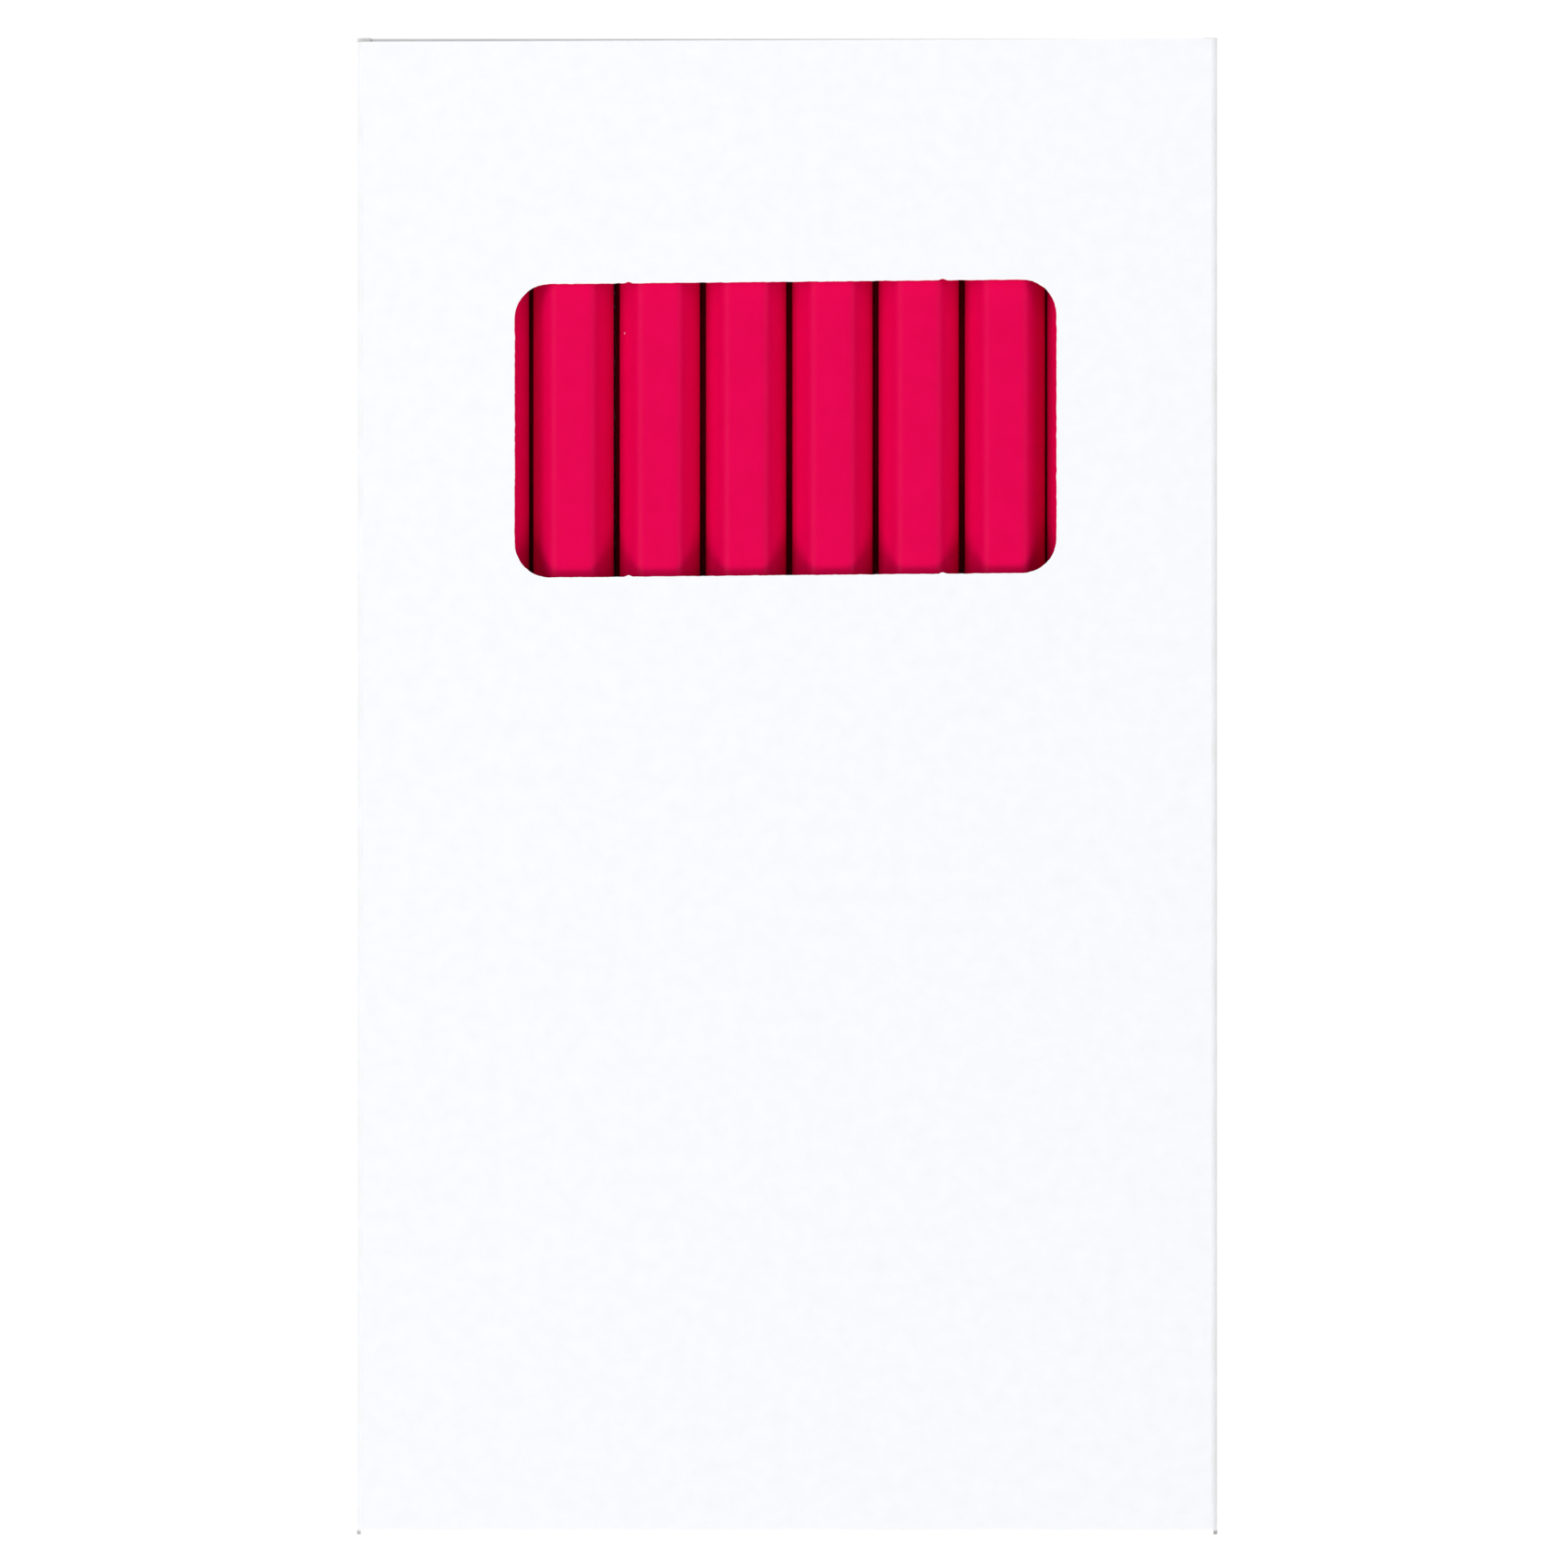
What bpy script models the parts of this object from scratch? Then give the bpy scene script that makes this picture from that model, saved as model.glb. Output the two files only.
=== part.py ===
"""A folding carton with a die-cut window, a tuck lid and a glued base, holding two layers of
unwrapped hexagonal crayons.

The carton lies on its back panel: +Z is out of the window, +Y runs to the tuck lid and +X is to
the right as seen from the window side. The origin is the centre of the back panel's outer face.
All sizes are in metres.
"""

import math

import bmesh
import bpy
from mathutils import Matrix, Vector

MM = 0.001

# Driving dimensions of the carton
CARTON_LENGTH = 142.3 * MM
CARTON_WIDTH = 81.8 * MM
BOARD = 0.42 * MM
FOLD_GAP = 0.1 * MM
FRONT_EDGE_STEP = 0.45 * MM
GLUE_FLAP_WIDTH = 12.0 * MM
GLUE_FLAP_TAPER = 4.0 * MM

# Driving dimensions of one crayon
CRAYON_LENGTH = 137.7 * MM
ACROSS_FLATS = 7.0 * MM
HEX_EDGE_RADIUS = 1.2 * MM
CONE_LENGTH = 12.5 * MM
TIP_RADIUS = 0.8 * MM
TIP_DOME = 0.7 * MM
BUTT_CHAMFER = 0.3 * MM

# How the crayons are packed
CRAYONS_PER_LAYER = 10
LAYERS = 2
MIDDLE_CRAYONS = 6
MIDDLE_PITCH = 8.24 * MM
MIDDLE_OFFSETS_X = (0.2 * MM, -0.35 * MM)
WALL_CLEARANCE = 0.09 * MM
LAYER_GAP = 0.08 * MM
TOP_LAYER_CLEARANCE = 0.28 * MM
BUTT_GAP = 0.2 * MM

# The window: its sides from the carton's middle, its top from the lid end
WINDOW_LEFT = -25.9 * MM
WINDOW_RIGHT = 25.6 * MM
WINDOW_FROM_LID_END = 23.2 * MM
WINDOW_HEIGHT = 27.9 * MM
WINDOW_CORNER_RADIUS = 3.3 * MM
WINDOW_SKEW = math.radians(0.55)

# The tuck lid, its tongue and the dust flaps
CREASE_RELIEF = 0.33 * MM
LID_EDGE_CHAMFER = 0.29 * MM
TONGUE_LENGTH = 8.0 * MM
TONGUE_ROOT = 0.17 * MM
TONGUE_INSET = 1.4 * MM
TONGUE_TAPER = 1.2 * MM
TONGUE_CORNER_RADIUS = 4.0 * MM
TONGUE_TILT = math.radians(3.5)
TONGUE_CLEARANCE = 0.14 * MM
DUST_FLAP_WIDTH = 14.0 * MM
DUST_FLAP_CORNER_RADIUS = 2.0 * MM
DUST_FLAP_GAP = 0.31 * MM
DUST_FLAP_ROOT_Z = (1.2 * MM, 14.2 * MM)
DUST_FLAP_TIP_Z = (5.5 * MM, 12.0 * MM)

# Heights, from the back panel up
LAYER_HEIGHT = ACROSS_FLATS + LAYER_GAP
WALL_FOOT_Z = BOARD + FOLD_GAP
FIRST_LAYER_Z = WALL_FOOT_Z + BOARD + FOLD_GAP + ACROSS_FLATS / 2
TOP_LAYER_Z = FIRST_LAYER_Z + (LAYERS - 1) * LAYER_HEIGHT
FRONT_Z = TOP_LAYER_Z + ACROSS_FLATS / 2 + TOP_LAYER_CLEARANCE
WALL_TOP_Z = FRONT_Z - FOLD_GAP

# Positions along the carton, from the glued base to the tuck lid
HALF_LENGTH = CARTON_LENGTH / 2
BASE_OUTER_Y = -HALF_LENGTH
BASE_INNER_Y = BASE_OUTER_Y + BOARD + FOLD_GAP
BASE_DUST_Y = BASE_INNER_Y + BOARD + FOLD_GAP
BUTT_Y = BASE_DUST_Y + BOARD + BUTT_GAP
LID_HINGE_Y = HALF_LENGTH - BOARD / 2
LID_HINGE_Z = BOARD / 2
TONGUE_HINGE_Z = FRONT_Z - TONGUE_CLEARANCE - BOARD / 2
DUST_HINGE_Y = HALF_LENGTH - BOARD - DUST_FLAP_GAP - BOARD / 2
BACK_END_Y = LID_HINGE_Y - CREASE_RELIEF
SIDE_END_Y = DUST_HINGE_Y - CREASE_RELIEF

# Positions across the carton
HALF_WIDTH = CARTON_WIDTH / 2
SIDE_MIDDLE_X = HALF_WIDTH - BOARD / 2
INNER_HALF_WIDTH = HALF_WIDTH - BOARD - FOLD_GAP

# Fineness of the meshes
ARC_STEPS = 6
HEX_SIDES = 6
FLAT_SEGMENTS = 4

X = Vector((1, 0, 0))
Y = Vector((0, 1, 0))
Z = Vector((0, 0, 1))
SIDES = (("left", -1), ("right", 1))


def clear_scene():
    for scene_object in list(bpy.data.objects):
        bpy.data.objects.remove(scene_object, do_unlink=True)


def principled(name, colour, roughness):
    material = bpy.data.materials.new(name)
    material.use_nodes = True
    shader = material.node_tree.nodes["Principled BSDF"]
    shader.inputs["Base Color"].default_value = (*colour, 1.0)
    shader.inputs["Roughness"].default_value = roughness
    shader.inputs["Metallic"].default_value = 0.0
    material.diffuse_color = (*colour, 1.0)
    return material


def carton_board():
    return principled("white_board", (0.91, 0.92, 0.93), 0.55)


def crayon_wax():
    return principled("magenta_wax", (0.78, 0.004, 0.086), 0.38)


def rectangle(left, bottom, right, top):
    return [(left, bottom), (right, bottom), (right, top), (left, top)]


def rounded(corners):
    """Round each (x, y, radius) corner of a convex outline with an arc; radius 0 stays sharp."""
    outline = []
    for index, (x, y, radius) in enumerate(corners):
        corner = Vector((x, y))
        if radius == 0:
            outline.append(corner)
            continue
        before = (Vector(corners[index - 1][:2]) - corner).normalized()
        after = (Vector(corners[(index + 1) % len(corners)][:2]) - corner).normalized()
        half_angle = before.angle(after) / 2
        centre = corner + (before + after).normalized() * radius / math.sin(half_angle)
        trim = radius / math.tan(half_angle)
        start = (corner + before * trim - centre).normalized()
        end = (corner + after * trim - centre).normalized()
        for step in range(ARC_STEPS + 1):
            outline.append(centre + start.slerp(end, step / ARC_STEPS) * radius)
    return outline


def add_object(name, mesh, material, location):
    """Turn a bmesh into a named object with one material."""
    bmesh.ops.recalc_face_normals(mesh, faces=mesh.faces[:])
    data = bpy.data.meshes.new(name)
    mesh.to_mesh(data)
    mesh.free()
    data.materials.append(material)
    return link_object(name, data, location)


def link_object(name, data, location):
    piece = bpy.data.objects.new(name, data)
    piece.location = location
    bpy.context.collection.objects.link(piece)
    return piece


def prism(name, outline, across, up, depth, material, location, opening=None):
    """Extrude an outline, drawn along across and up about the location, evenly to both sides.

    depth is the vector from one end of the prism to the other, and opening is a second outline
    that is cut right through.
    """
    mesh = bmesh.new()
    edges = []
    for loop in (outline, opening or []):
        ring = [mesh.verts.new(across * point[0] + up * point[1] - depth / 2) for point in loop]
        for index, vertex in enumerate(ring):
            edges.append(mesh.edges.new((ring[index - 1], vertex)))
    bmesh.ops.triangle_fill(mesh, edges=edges, use_beauty=True)
    grown = bmesh.ops.extrude_face_region(mesh, geom=mesh.faces[:])
    moved = [item for item in grown["geom"] if isinstance(item, bmesh.types.BMVert)]
    bmesh.ops.translate(mesh, verts=moved, vec=depth)
    return add_object(name, mesh, material, location)


def window_outline():
    """The die-cut window: a rounded rectangle whose top and base run slightly uphill."""
    top = HALF_LENGTH - WINDOW_FROM_LID_END
    middle = (WINDOW_LEFT + WINDOW_RIGHT) / 2
    corners = []
    for x, y in rectangle(WINDOW_LEFT, top - WINDOW_HEIGHT, WINDOW_RIGHT, top):
        corners.append((x, y + (x - middle) * math.tan(WINDOW_SKEW), WINDOW_CORNER_RADIUS))
    return rounded(corners)


def make_front_panel(board):
    outline = rectangle(-HALF_WIDTH, BASE_OUTER_Y, HALF_WIDTH, HALF_LENGTH - FRONT_EDGE_STEP)
    middle = (0, 0, FRONT_Z + BOARD / 2)
    prism("front_panel", outline, X, Y, Z * BOARD, board, middle, opening=window_outline())


def make_back_panel(board):
    outline = rectangle(-HALF_WIDTH, BASE_INNER_Y, HALF_WIDTH, BACK_END_Y)
    prism("back_panel", outline, X, Y, Z * BOARD, board, (0, 0, BOARD / 2))


def make_side_panels(board):
    outline = rectangle(BASE_INNER_Y, WALL_FOOT_Z, SIDE_END_Y, WALL_TOP_Z)
    for name, side in SIDES:
        middle = (side * SIDE_MIDDLE_X, 0, 0)
        prism(f"{name}_side_panel", outline, Y, Z, X * BOARD, board, middle)


def make_glue_flap(board):
    """The seam strip, folded in from the right side panel and glued inside the back panel."""
    outer = INNER_HALF_WIDTH
    inner = outer - GLUE_FLAP_WIDTH
    start = BUTT_Y
    end = SIDE_END_Y - FOLD_GAP
    outline = [
        (outer, start),
        (outer, end),
        (inner, end - GLUE_FLAP_TAPER),
        (inner, start + GLUE_FLAP_TAPER),
    ]
    prism("glue_flap", outline, X, Y, Z * BOARD, board, (0, 0, WALL_FOOT_Z + BOARD / 2))


def make_base(board):
    """The glued base: an outer flap, an inner flap under it and two dust flaps under that."""
    outer = rectangle(-HALF_WIDTH, 0, HALF_WIDTH, WALL_TOP_Z)
    inner = rectangle(-INNER_HALF_WIDTH, WALL_FOOT_Z, INNER_HALF_WIDTH, WALL_TOP_Z)
    outer_middle = (0, BASE_OUTER_Y + BOARD / 2, 0)
    inner_middle = (0, BASE_INNER_Y + BOARD / 2, 0)
    prism("bottom_outer_flap", outer, X, Z, Y * BOARD, board, outer_middle)
    prism("bottom_inner_flap", inner, X, Z, Y * BOARD, board, inner_middle)
    dust = rectangle(-INNER_HALF_WIDTH, WALL_FOOT_Z, DUST_FLAP_WIDTH - INNER_HALF_WIDTH, WALL_TOP_Z)
    for name, side in SIDES:
        middle = (0, BASE_DUST_Y + BOARD / 2, 0)
        prism(f"bottom_dust_flap_{name}", dust, X * -side, Z, Y * BOARD, board, middle)


def make_tuck_lid(board):
    """The lid turns about the crease on the back panel and carries the tongue on its far edge."""
    height = TONGUE_HINGE_Z - LID_HINGE_Z - CREASE_RELIEF
    profile = [
        (-BOARD / 2, -BOARD / 2),
        (BOARD / 2, -BOARD / 2),
        (BOARD / 2, height),
        (-BOARD / 2, height - LID_EDGE_CHAMFER),
    ]
    hinge = (0, LID_HINGE_Y, LID_HINGE_Z)
    lid = prism("tuck_lid", profile, Y, Z, X * CARTON_WIDTH, board, hinge)
    half_width = HALF_WIDTH - TONGUE_INSET
    free_half_width = half_width - TONGUE_TAPER
    outline = rounded([
        (-half_width, -TONGUE_ROOT, 0),
        (half_width, -TONGUE_ROOT, 0),
        (free_half_width, TONGUE_LENGTH, TONGUE_CORNER_RADIUS),
        (-free_half_width, TONGUE_LENGTH, TONGUE_CORNER_RADIUS),
    ])
    inward = Matrix.Rotation(TONGUE_TILT, 3, "X") @ -Y
    normal = inward.cross(X)
    crease = (0, 0, TONGUE_HINGE_Z - LID_HINGE_Z)
    tongue = prism("tuck_tongue", outline, X, inward, normal * BOARD, board, crease)
    tongue.parent = lid


def make_top_dust_flaps(board):
    """Each flap turns about the crease at the end of its side panel, under the lid."""
    outline = rounded([
        (-BOARD / 2, DUST_FLAP_ROOT_Z[0], 0),
        (DUST_FLAP_WIDTH, DUST_FLAP_TIP_Z[0], DUST_FLAP_CORNER_RADIUS),
        (DUST_FLAP_WIDTH, DUST_FLAP_TIP_Z[1], DUST_FLAP_CORNER_RADIUS),
        (-BOARD / 2, DUST_FLAP_ROOT_Z[1], 0),
    ])
    for name, side in SIDES:
        crease = (side * SIDE_MIDDLE_X, DUST_HINGE_Y, 0)
        prism(f"top_dust_flap_{name}", outline, X * -side, Z, Y * BOARD, board, crease)


def hexagon():
    """One crayon's cross-section, a flat facing up, as points in the X-Z plane."""
    arc_centre = (ACROSS_FLATS / 2 - HEX_EDGE_RADIUS) / math.cos(math.pi / HEX_SIDES)
    turn = 2 * math.pi / HEX_SIDES
    edges = []
    for side in range(HEX_SIDES):
        for step in (-1, 0, 1):
            angle = side * turn
            swing = angle + step * turn / 2
            centre = Vector((math.cos(angle), math.sin(angle))) * arc_centre
            edges.append(centre + Vector((math.cos(swing), math.sin(swing))) * HEX_EDGE_RADIUS)
    points = []
    for index, point in enumerate(edges):
        points.append(point)
        if index % 3 == 2:
            following = edges[(index + 1) % len(edges)]
            for step in range(1, FLAT_SEGMENTS):
                points.append(point.lerp(following, step / FLAT_SEGMENTS))
    return points


def crayon_data(wax):
    """A hexagonal stick along +Y with a chamfered butt and a turned cone with a domed tip."""
    section = hexagon()
    widest = max(point.length for point in section)
    dome_base = CRAYON_LENGTH - TIP_DOME
    slope = (widest - TIP_RADIUS) / (CONE_LENGTH - TIP_DOME)
    butt_scale = 1 - BUTT_CHAMFER / (ACROSS_FLATS / 2)
    dome_angle = math.radians(45)
    dome_radius = TIP_RADIUS * math.cos(dome_angle)
    dome_y = dome_base + TIP_DOME * math.sin(dome_angle)

    mesh = bmesh.new()
    rings = [[] for _ in range(5)]
    for point in section:
        towards = point.normalized()
        shoulder_y = dome_base - (point.length - TIP_RADIUS) / slope
        stations = [
            (point * butt_scale, 0),
            (point, BUTT_CHAMFER),
            (point, shoulder_y),
            (towards * TIP_RADIUS, dome_base),
            (towards * dome_radius, dome_y),
        ]
        for ring, (place, y) in zip(rings, stations):
            ring.append(mesh.verts.new((place.x, y, place.y)))
    apex = mesh.verts.new((0, CRAYON_LENGTH, 0))
    mesh.faces.new(rings[0])
    for near, far in zip(rings, rings[1:]):
        for index in range(len(section)):
            mesh.faces.new((near[index - 1], near[index], far[index], far[index - 1]))
    for index in range(len(section)):
        mesh.faces.new((rings[-1][index - 1], rings[-1][index], apex))
    bmesh.ops.recalc_face_normals(mesh, faces=mesh.faces[:])

    data = bpy.data.meshes.new("crayon")
    mesh.to_mesh(data)
    mesh.free()
    data.materials.append(wax)
    data.shade_smooth()
    data.set_sharp_from_angle(angle=math.radians(25))
    return data


def crayon_places(offset):
    """Where a layer's crayons lie across the carton: a loose middle group, and closer ones each side."""
    places = []
    for number in range(MIDDLE_CRAYONS):
        places.append(offset + MIDDLE_PITCH * (number - (MIDDLE_CRAYONS - 1) / 2))
    half_corners = (ACROSS_FLATS / 2 - HEX_EDGE_RADIUS) / math.cos(math.pi / HEX_SIDES) + HEX_EDGE_RADIUS
    outermost = HALF_WIDTH - BOARD - WALL_CLEARANCE - half_corners
    beside = (CRAYONS_PER_LAYER - MIDDLE_CRAYONS) // 2
    for end, side in ((places[0], -1), (places[-1], 1)):
        for number in range(1, beside + 1):
            places.append(end + (side * outermost - end) * number / beside)
    return sorted(places)


def make_crayons(wax):
    """Rows of crayons side by side, numbered from the left, the window's layer first."""
    data = crayon_data(wax)
    number = 0
    for layer in range(LAYERS):
        z = TOP_LAYER_Z - layer * LAYER_HEIGHT
        for x in crayon_places(MIDDLE_OFFSETS_X[layer]):
            number += 1
            butt = (x, BUTT_Y, z)
            link_object(f"crayon_{number:02d}", data, butt)


def main():
    clear_scene()
    board = carton_board()
    wax = crayon_wax()
    make_front_panel(board)
    make_back_panel(board)
    make_side_panels(board)
    make_glue_flap(board)
    make_base(board)
    make_tuck_lid(board)
    make_top_dust_flaps(board)
    make_crayons(wax)


main()
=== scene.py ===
"""The looks of the windowed carton and its crayons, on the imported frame. Metres, +Z up."""

import math

import bmesh
import bpy
from mathutils import Matrix, Vector, noise


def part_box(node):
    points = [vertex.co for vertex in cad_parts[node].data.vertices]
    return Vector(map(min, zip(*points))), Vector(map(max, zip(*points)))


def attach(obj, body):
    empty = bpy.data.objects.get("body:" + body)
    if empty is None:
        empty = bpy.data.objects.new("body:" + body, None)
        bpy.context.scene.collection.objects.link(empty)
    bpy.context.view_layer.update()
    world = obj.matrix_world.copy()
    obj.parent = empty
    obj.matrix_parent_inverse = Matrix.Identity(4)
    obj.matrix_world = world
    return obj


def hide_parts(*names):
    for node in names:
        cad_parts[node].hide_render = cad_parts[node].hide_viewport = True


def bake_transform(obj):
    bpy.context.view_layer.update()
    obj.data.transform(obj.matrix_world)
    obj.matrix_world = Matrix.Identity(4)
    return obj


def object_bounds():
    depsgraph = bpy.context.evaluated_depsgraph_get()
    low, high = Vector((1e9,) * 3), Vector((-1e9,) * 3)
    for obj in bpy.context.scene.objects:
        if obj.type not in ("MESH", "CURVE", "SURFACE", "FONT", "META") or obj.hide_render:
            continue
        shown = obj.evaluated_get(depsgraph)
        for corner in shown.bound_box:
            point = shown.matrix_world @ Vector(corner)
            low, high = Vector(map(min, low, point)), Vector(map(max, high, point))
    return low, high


MM = 0.001
X = Vector((1, 0, 0))
Y = Vector((0, 1, 0))
Z = Vector((0, 0, 1))

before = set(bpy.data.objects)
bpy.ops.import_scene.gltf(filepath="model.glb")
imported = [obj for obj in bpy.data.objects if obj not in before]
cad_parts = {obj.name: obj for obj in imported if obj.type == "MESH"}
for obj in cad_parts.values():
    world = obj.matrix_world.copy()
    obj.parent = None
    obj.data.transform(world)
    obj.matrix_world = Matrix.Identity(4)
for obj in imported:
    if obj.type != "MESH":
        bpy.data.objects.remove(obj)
cad_low, cad_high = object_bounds()

# The panels' boxes
FRONT_LOW, FRONT_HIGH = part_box("front_panel")
BACK_LOW, BACK_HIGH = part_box("back_panel")
RIGHT_LOW, RIGHT_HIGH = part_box("right_side_panel")
GLUE_LOW, GLUE_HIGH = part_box("glue_flap")
OUTER_LOW, OUTER_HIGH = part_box("bottom_outer_flap")
INNER_LOW, INNER_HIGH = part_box("bottom_inner_flap")
BASE_DUST_LOW, BASE_DUST_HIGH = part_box("bottom_dust_flap_left")
LID_LOW, LID_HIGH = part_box("tuck_lid")
TONGUE_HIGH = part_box("tuck_tongue")[1]
DUST_LOW, DUST_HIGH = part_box("top_dust_flap_left")

# The board's thickness, and the bends in its middle layer
BOARD = FRONT_HIGH.z - FRONT_LOW.z
CREASE_RADIUS = 0.39 * MM
TONGUE_CREASE_RADIUS = 0.62 * MM
CREASE_STEPS = 10
BOARD_SMOOTH_ANGLE = math.radians(30)

# A board piece's material slots, in the order of its materials
FACE_SLOT, INSIDE_SLOT, CUT_SLOT = 0, 1, 2

# Mid-planes of the folded board
HALF_WIDTH = FRONT_HIGH.x
FRONT_MID_Z = (FRONT_LOW.z + FRONT_HIGH.z) / 2
BACK_MID_Z = (BACK_LOW.z + BACK_HIGH.z) / 2
SIDE_MID_X = (RIGHT_LOW.x + RIGHT_HIGH.x) / 2
GLUE_MID_Z = (GLUE_LOW.z + GLUE_HIGH.z) / 2
OUTER_MID_Y = (OUTER_LOW.y + OUTER_HIGH.y) / 2
INNER_MID_Y = (INNER_LOW.y + INNER_HIGH.y) / 2
BASE_DUST_MID_Y = (BASE_DUST_LOW.y + BASE_DUST_HIGH.y) / 2
LID_MID_Y = (LID_LOW.y + LID_HIGH.y) / 2
DUST_MID_Y = (DUST_LOW.y + DUST_HIGH.y) / 2
TONGUE_HINGE_Z = TONGUE_HIGH.z - BOARD / 2

# The tuck lid, its tongue and the flaps. The lid's ears stand beside the tongue.
TONGUE_TILT = math.radians(3.5)
TONGUE_LENGTH = 8.0 * MM
TONGUE_TAPER = 1.2 * MM
TONGUE_CORNER_RADIUS = 4.0 * MM
EAR_GAP = 0.1 * MM
DUST_FLAP_WIDTH = 14.0 * MM
DUST_FLAP_CORNER_RADIUS = 2.0 * MM
DUST_FLAP_ROOT_Z = (1.2 * MM, 14.2 * MM)
DUST_FLAP_TIP_Z = (5.5 * MM, 12.0 * MM)
GLUE_FLAP_TAPER = 4.0 * MM
CORNER_STEPS = 10

# The base's outer flap ends this far above the table
BASE_LIFT = 0.05 * MM

# The window: its sides from the carton's middle, its top from the lid end
WINDOW_LEFT = -25.9 * MM
WINDOW_RIGHT = 25.6 * MM
WINDOW_FROM_LID_END = 23.2 * MM
WINDOW_HEIGHT = 27.9 * MM
WINDOW_CORNER_RADIUS = 3.3 * MM
WINDOW_SKEW = math.radians(0.55)

# Its nicks: their half width, and their places as shares of the way across
NICK_DEPTH = 0.16 * MM
NICK_WIDTH = 0.3 * MM
NICK_SHARES = (0.21, 0.79)

# Its ragged edge: points a step apart, moved by a noise that has a size, a place where it is
# read, and octaves with a falloff, a gap and a number
CUT_STEP = 0.22 * MM
CUT_RAGGEDNESS = 0.035 * MM
CUT_NOISE_SIZE = 0.7 * MM
CUT_NOISE_Z = 3 * MM
CUT_OCTAVES = (0.6, 2.0, 4)
SHORTEST_RUN = 1e-9

# How far short of the lid end the front panel stops, at its left and right corners
SLIT_LEFT = 0.40 * MM
SLIT_RIGHT = 0.08 * MM

# One crayon, from its CAD solid
CRAYON_LOW, CRAYON_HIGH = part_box("crayon_01")
CRAYON_LENGTH = CRAYON_HIGH.y - CRAYON_LOW.y
ACROSS_FLATS = CRAYON_HIGH.z - CRAYON_LOW.z
HALF_CORNERS = (CRAYON_HIGH.x - CRAYON_LOW.x) / 2
COS_30 = math.cos(math.pi / 6)
HEX_EDGE_RADIUS = (ACROSS_FLATS / 2 / COS_30 - HALF_CORNERS) / (1 / COS_30 - 1)
CONE_LENGTH = 12.5 * MM
TIP_RADIUS = 0.8 * MM
TIP_DOME = 0.7 * MM
BUTT_CHAMFER = 0.3 * MM
CRAYON_COUNT = 20
WAX_SMOOTH_ANGLE = math.radians(35)

# A crayon's material slots, in the order of its materials
PRESSED_SLOT, TURNED_SLOT = 0, 1

# A crayon's mesh: points round it, and rows along it. The dome's rows are at angles in radians.
HEX_SIDES = 6
HEX_ARC_STEPS = 6
HEX_FLAT_STEPS = 4
BUTT_SHARES = (0.0, 0.35, 1.0)
BODY_ROWS = 44
CONE_ROWS = 8
DOME_ANGLES = (0.3, 0.6, 0.9, 1.2)

# The pressed surface: how far it dips, and the waves and dents, drawn out along the stick
WAX_UNEVENNESS = 0.03 * MM
WAX_WAVE_SIZE = 4 * MM
WAX_STRETCH = 0.35
WAX_SEED_STEP = 17.0
WAX_DENTS_PER_WAVE = 5.0
WAX_DENT_SHARE = 0.3

# Floor, camera and background
FLOOR_REACH = 1.5
FLOOR_CLEARANCE = 0.1 * MM
FACE_SHARE_OF_HEIGHT = 0.955
FRAME_SHIFT = Vector((-0.30, 0.21, 0)) * MM
LENS_MM = 200.0
SENSOR_MM = 36.0
SKY_COLOUR = (0.97, 0.98, 1.0, 1.0)
SKY_STRENGTH = 0.12

# These would burn out to the floor's white in the key light, so it skips them
UNKEYED_PANELS = ("left_side_panel_board", "right_side_panel_board", "bottom_outer_flap_board")


# ---------------------------------------------------------------- materials


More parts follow.
